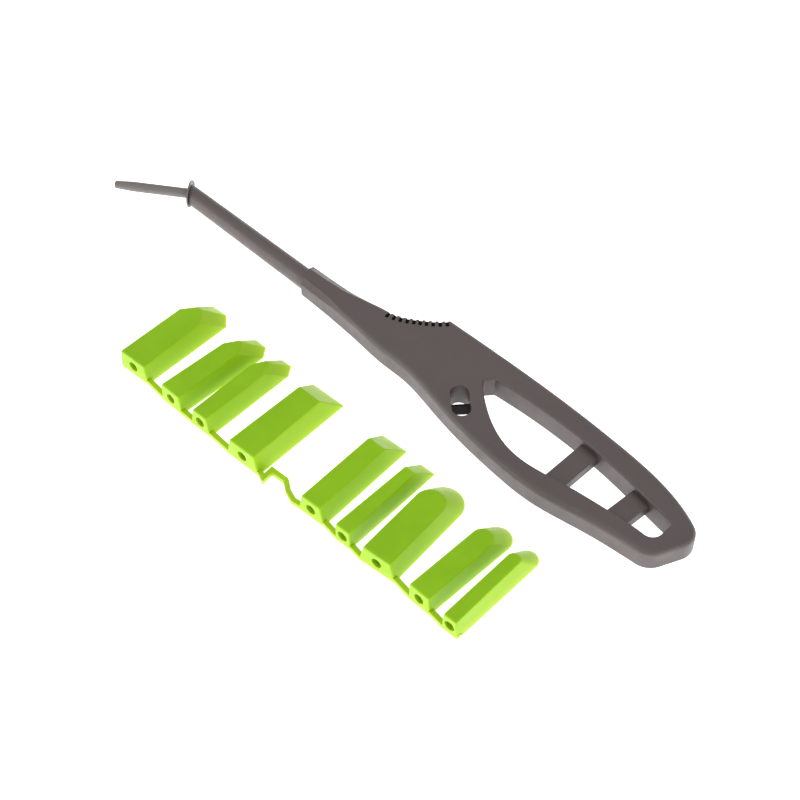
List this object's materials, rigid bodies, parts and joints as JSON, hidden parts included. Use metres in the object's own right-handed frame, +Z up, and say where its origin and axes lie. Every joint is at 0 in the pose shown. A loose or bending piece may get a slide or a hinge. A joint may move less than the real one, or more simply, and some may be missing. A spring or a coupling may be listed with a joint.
{
  "type": "sealant finishing tool with profile heads",
  "caption": "Flat looped handle with a thin shaft and a bent flanged pin, beside a tear-off strip of profile heads with round sockets.",
  "frame": {"origin": "middle of the whole set's footprint, on the surface it lies on", "axes": "+X from the pin to the tail of the handle, +Y from the strip of heads to the handle, +Z up"},
  "size_m": [0.2065, 0.0727, 0.0078],
  "materials": {
    "grey_plastic": "fine moulded texture, satin",
    "blade_steel": "dark oiled steel",
    "green_plastic": "soft satin, slightly translucent"
  },
  "bodies": {
    "tool": {"handle": "grey_plastic", "nozzle_blade": "blade_steel", "shaft_rod": "grey_plastic", "flanged_pin": "grey_plastic"},
    "strip": {"strand": "green_plastic"},
    "bevel_head_large": {"bevel_head_large": "green_plastic"},
    "bevel_head_medium": {"bevel_head_medium": "green_plastic"},
    "bevel_head_small": {"bevel_head_small": "green_plastic"},
    "square_head_large": {"square_head_large": "green_plastic"},
    "square_head_medium": {"square_head_medium": "green_plastic"},
    "square_head_small": {"square_head_small": "green_plastic"},
    "round_head_large": {"round_head_large": "green_plastic"},
    "round_head_medium": {"round_head_medium": "green_plastic"},
    "round_head_small": {"round_head_small": "green_plastic"}
  },
  "joints": [
    {"name": "strip_lift", "type": "slide", "parent": "tool", "child": "strip", "axis": [0, 0, 1], "range_m": [0, 0.05]},
    {"name": "bevel_head_large_lift", "type": "slide", "parent": "strip", "child": "bevel_head_large", "axis": [0, 0, 1], "range_m": [0, 0.03]},
    {"name": "bevel_head_medium_lift", "type": "slide", "parent": "strip", "child": "bevel_head_medium", "axis": [0, 0, 1], "range_m": [0, 0.03]},
    {"name": "bevel_head_small_lift", "type": "slide", "parent": "strip", "child": "bevel_head_small", "axis": [0, 0, 1], "range_m": [0, 0.03]},
    {"name": "square_head_large_lift", "type": "slide", "parent": "strip", "child": "square_head_large", "axis": [0, 0, 1], "range_m": [0, 0.03]},
    {"name": "square_head_medium_lift", "type": "slide", "parent": "strip", "child": "square_head_medium", "axis": [0, 0, 1], "range_m": [0, 0.03]},
    {"name": "square_head_small_lift", "type": "slide", "parent": "strip", "child": "square_head_small", "axis": [0, 0, 1], "range_m": [0, 0.03]},
    {"name": "round_head_large_lift", "type": "slide", "parent": "strip", "child": "round_head_large", "axis": [0, 0, 1], "range_m": [0, 0.03]},
    {"name": "round_head_medium_lift", "type": "slide", "parent": "strip", "child": "round_head_medium", "axis": [0, 0, 1], "range_m": [0, 0.03]},
    {"name": "round_head_small_lift", "type": "slide", "parent": "strip", "child": "round_head_small", "axis": [0, 0, 1], "range_m": [0, 0.03]}
  ]
}
